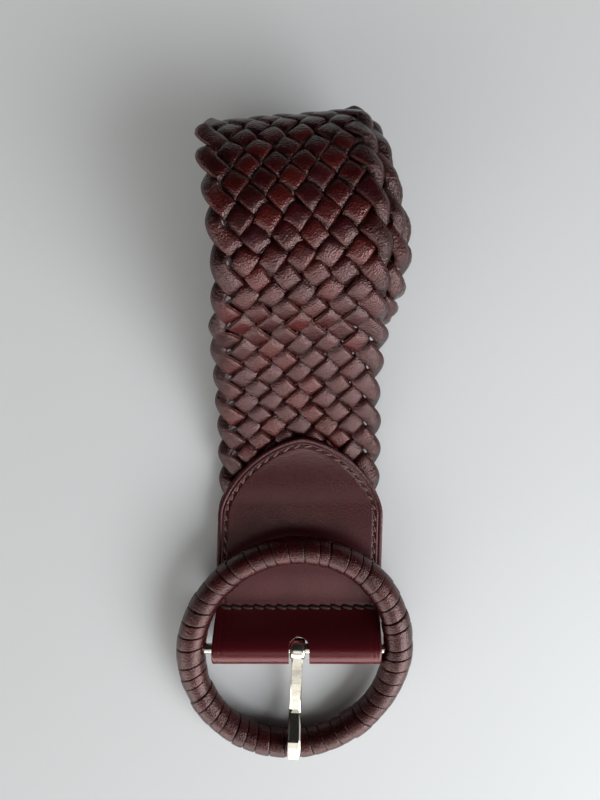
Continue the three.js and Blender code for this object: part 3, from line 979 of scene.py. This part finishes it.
def make_wrap():
    rows = WRAP_TURNS * ROWS_PER_TURN
    jitter = rng.normal(size=WRAP_TURNS) * 0.17
    lift = rng.normal(size=WRAP_TURNS) * 0.10
    slope = rng.normal(size=WRAP_TURNS) * 0.10
    tone = rng.rand(WRAP_TURNS)
    row = np.arange(rows)[:, None]
    side = np.arange(WRAP_SIDES)[None, :]
    index = (row // ROWS_PER_TURN + 0 * side) % WRAP_TURNS
    step = (row % ROWS_PER_TURN) / ROWS_PER_TURN + 0 * side
    share = np.interp(step, np.linspace(0, 1, len(TURN_ROWS)), TURN_ROWS)
    relief = np.interp(share, *TURN_RELIEF.T)
    seam = jitter[index] * (1 - share) + jitter[(index + 1) % WRAP_TURNS] * share
    around = (row // ROWS_PER_TURN + share + seam + side / WRAP_SIDES) / WRAP_TURNS * 2 * np.pi
    tube = -side / WRAP_SIDES * 2 * np.pi
    bulge = WRAP_BULGE * np.exp(-((np.sin(around) / BULGE_SPREAD) ** 2))
    raised = (lift[index] + slope[index] * (share - 0.5)) * smooth((1 - share) / 0.2)
    points = ring_point(around, tube, WRAP_RADIUS - 0.08 + bulge + relief + raised)
    attributes = {
        "along": (side / WRAP_SIDES * 30 + index * 31).ravel(),
        "side": (share * 2 - 1).ravel(),
        "cell": tone[index].ravel(),
        "groove": np.interp(share, *TURN_GROOVE.T).ravel(),
    }
    obj = make_mesh("wound_thong", place_buckle(points.reshape(-1, 3)), wrap_faces(rows), attributes)
    obj.data.materials.append(wrap_material)
    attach(obj, "buckle")
    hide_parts("ring_wrap")


make_wrap()


CORE_ROWS = 96
CORE_SIDES = 20
BAR_ROWS = 24
BAR_SIDES = 32


def make_core():
    around = np.arange(CORE_ROWS)[:, None] / CORE_ROWS * 2 * np.pi
    tube = -np.arange(CORE_SIDES)[None, :] / CORE_SIDES * 2 * np.pi
    ring = ring_point(around, tube, WRAP_RADIUS - WRAP_LEATHER - GAP).reshape(-1, 3)
    stations = np.linspace(-ring_radius + 1, ring_radius - 1, BAR_ROWS)[:, None]
    angle = np.arange(BAR_SIDES)[None, :] / BAR_SIDES * 2 * np.pi
    parts = (stations, BAR_RADIUS * np.cos(angle), BAR_RADIUS * np.sin(angle))
    bar = np.stack(np.broadcast_arrays(*parts), axis=-1).reshape(-1, 3)
    faces = loft_faces(CORE_ROWS, CORE_SIDES, wrap_rows=True)
    faces += loft_faces(BAR_ROWS, BAR_SIDES, start=len(ring))
    obj = make_mesh("ring_and_bar", place_buckle(np.concatenate([ring, bar])), faces)
    obj.data.materials.append(metal)
    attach(obj, "buckle")
    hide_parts("buckle_core")


make_core()


# The prong by its place on the ring's radius: underside and top as shares of the tube's radius, width in
# millimetres, and how much of the top is flat to the left and right. Then one section's corners, as shares
# of the half width and the height, with the side that a corner of the flat is on.
PRONG_LOOK = np.array([
    (0.075, -0.20, 0.30, 4.2, 0.70, 0.70), (0.15, -0.15, 0.42, 4.1, 0.80, 0.80),
    (0.19, -0.14, 0.45, 4.1, 0.92, 0.90), (0.34, -0.16, 0.40, 4.2, 0.80, 0.84),
    (0.50, -0.20, 0.33, 4.4, 0.56, 0.72), (0.62, -0.22, 0.28, 4.6, 0.36, 0.50),
    (0.65, -0.16, 0.36, 4.7, 0.62, 0.62), (0.74, 0.18, 0.88, 4.8, 0.74, 0.68),
    (0.83, 0.62, 1.46, 4.9, 0.76, 0.70), (0.85, 0.70, 1.56, 5.0, 0.84, 0.62),
    (0.90, 1.06, 1.64, 5.0, 0.80, 0.62), (0.98, 1.09, 1.62, 4.9, 0.76, 0.70),
    (1.03, 1.10, 1.52, 4.5, 0.70, 0.70), (1.05, 1.13, 1.38, 3.4, 0.70, 0.70),
])
PRONG_SECTION = np.array([
    (-0.86, 0, 0), (-1, 0.12, 0), (-1, 0.55, 0), (-0.9, 0.86, 0), (0, 1, -1),
    (0, 1, 1), (0.9, 0.86, 0), (1, 0.55, 0), (1, 0.12, 0), (0.86, 0, 0),
])
EYE_ROWS = 48
EYE_SIDES = 16
EYE_SQUARENESS = 3.2


def prong_arm():
    stations, low, high, width, left, right = PRONG_LOOK.T[..., None]
    x_share, z_share, bevel = PRONG_SECTION.T
    x = np.where(bevel < 0, -left, np.where(bevel > 0, right, x_share)) * width / 2
    z = (low + (high - low) * z_share) * WRAP_RADIUS
    return np.stack(np.broadcast_arrays(x, -stations * ring_radius, z), axis=-1).reshape(-1, 3)


def prong_eye():
    section = np.arange(EYE_SIDES) / EYE_SIDES * 2 * np.pi
    circle = np.stack([np.cos(section), np.sin(section)])
    across, out = np.sign(circle) * np.abs(circle) ** (2 / EYE_SQUARENESS)
    radius = BAR_RADIUS + GAP + 0.1 + (1 + out) * EYE_WALL / 2
    around = np.arange(EYE_ROWS)[:, None] / EYE_ROWS * 2 * np.pi
    parts = (across * EYE_WIDTH / 2, radius * np.cos(around), radius * np.sin(around))
    return np.stack(np.broadcast_arrays(*parts), axis=-1).reshape(-1, 3)


def make_prong():
    yaw = np.array(Matrix.Rotation(math.radians(PRONG_YAW), 3, "Z"))
    arm, eye = prong_arm(), prong_eye()
    faces = loft_faces(len(PRONG_LOOK), len(PRONG_SECTION))
    arm_faces = len(faces)
    faces += [face[::-1] for face in loft_faces(EYE_ROWS, EYE_SIDES, start=len(arm), wrap_rows=True)]
    points = np.concatenate([arm, eye]) @ yaw.T + np.array([PRONG_SLIDE, 0, 0])
    obj = make_mesh("prong_body", place_buckle(points), faces)
    obj.data.polygons.foreach_set("use_smooth", [k >= arm_faces for k in range(len(obj.data.polygons))])
    obj.data.materials.append(metal)
    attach(obj, "prong")
    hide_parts("prong")


make_prong()


# Surface and light.
FLOOR_REACH = 1500
FLOOR_TONES = ((0.605, 0.615, 0.625, 1), (0.635, 0.645, 0.655, 1))


def make_floor():
    corners = [(x * FLOOR_REACH, y * FLOOR_REACH, 0) for x, y in ((-1, -1), (1, -1), (1, 1), (-1, 1))]
    floor = make_mesh("surface", corners, [(0, 1, 2, 3)])
    n = Nodes("surface_finish")
    point = n.object_point()
    n.link(n.mix(n.noise(point, 6, 2), *FLOOR_TONES), n.shader.inputs["Base Color"])
    n.shader.inputs["Roughness"].default_value = 0.6
    n.link(n.bump(n.noise(point, 900, 2), 0.05), n.shader.inputs["Normal"])
    floor.data.materials.append(n.material)


make_floor()


WINDOW_PLACE = Vector((0.53, -0.38, 0.50))
WINDOW_TARGET = Vector((0, 0.03, 0))
WINDOW_SIZE = (0.62, 0.50)
WINDOW_ENERGY = 6.2
WINDOW_COLOUR = (0.97, 1.0, 1.02)


def make_window():
    data = bpy.data.lights.new("window", "AREA")
    data.shape = "RECTANGLE"
    data.size, data.size_y = WINDOW_SIZE
    data.energy = WINDOW_ENERGY
    data.color = WINDOW_COLOUR
    light = bpy.data.objects.new("window", data)
    bpy.context.collection.objects.link(light)
    light.location = WINDOW_PLACE
    light.rotation_mode = "QUATERNION"
    light.rotation_quaternion = (WINDOW_TARGET - WINDOW_PLACE).to_track_quat("-Z", "Y")


make_window()


# Sky: dark overhead, where the photographer stands, with one soft lamp, and bright low down in front.
DARK_TILT = math.radians(12)
LAMP_TILT = math.radians(-18)
SKY_COLOUR = (1.0, 0.985, 0.955, 1)


def make_sky():
    world = bpy.data.worlds.new("studio")
    bpy.context.scene.world = world
    world.use_nodes = True
    tree = world.node_tree
    background = tree.nodes["Background"]

    def maths(operation, a, b):
        node = tree.nodes.new("ShaderNodeMath")
        node.operation = operation
        for socket, value in zip(node.inputs, (a, b)):
            if hasattr(value, "is_output"):
                tree.links.new(value, socket)
            else:
                socket.default_value = value
        return node.outputs[0]

    def spread(value, low, high, to_low, to_high):
        node = tree.nodes.new("ShaderNodeMapRange")
        node.interpolation_type = "SMOOTHSTEP"
        tree.links.new(value, node.inputs[0])
        for socket, number in zip(node.inputs[1:5], (low, high, to_low, to_high)):
            socket.default_value = number
        return node.outputs[0]

    def towards(tilt):
        return maths("ADD", maths("MULTIPLY", z, math.cos(tilt)), maths("MULTIPLY", y, math.sin(tilt)))

    direction = tree.nodes.new("ShaderNodeTexCoord").outputs["Generated"]
    parts = tree.nodes.new("ShaderNodeSeparateXYZ")
    tree.links.new(direction, parts.inputs[0])
    x, y, z = parts.outputs
    open_sky = spread(towards(DARK_TILT), 0.56, 0.34, 0.08, 1.0)
    lamp = spread(towards(LAMP_TILT), 0.946, 0.992, 0.0, 1.1)
    front = spread(y, 0.0, -0.75, 0.0, 3.1)
    right = spread(x, -0.2, 0.9, 0.0, 0.5)
    ring = maths("ADD", maths("ADD", front, right), 0.14)
    strength = maths("ADD", maths("MULTIPLY", ring, open_sky), lamp)
    tree.links.new(strength, background.inputs["Strength"])
    background.inputs["Color"].default_value = SKY_COLOUR


make_sky()
bpy.context.scene.view_settings.view_transform = "Standard"
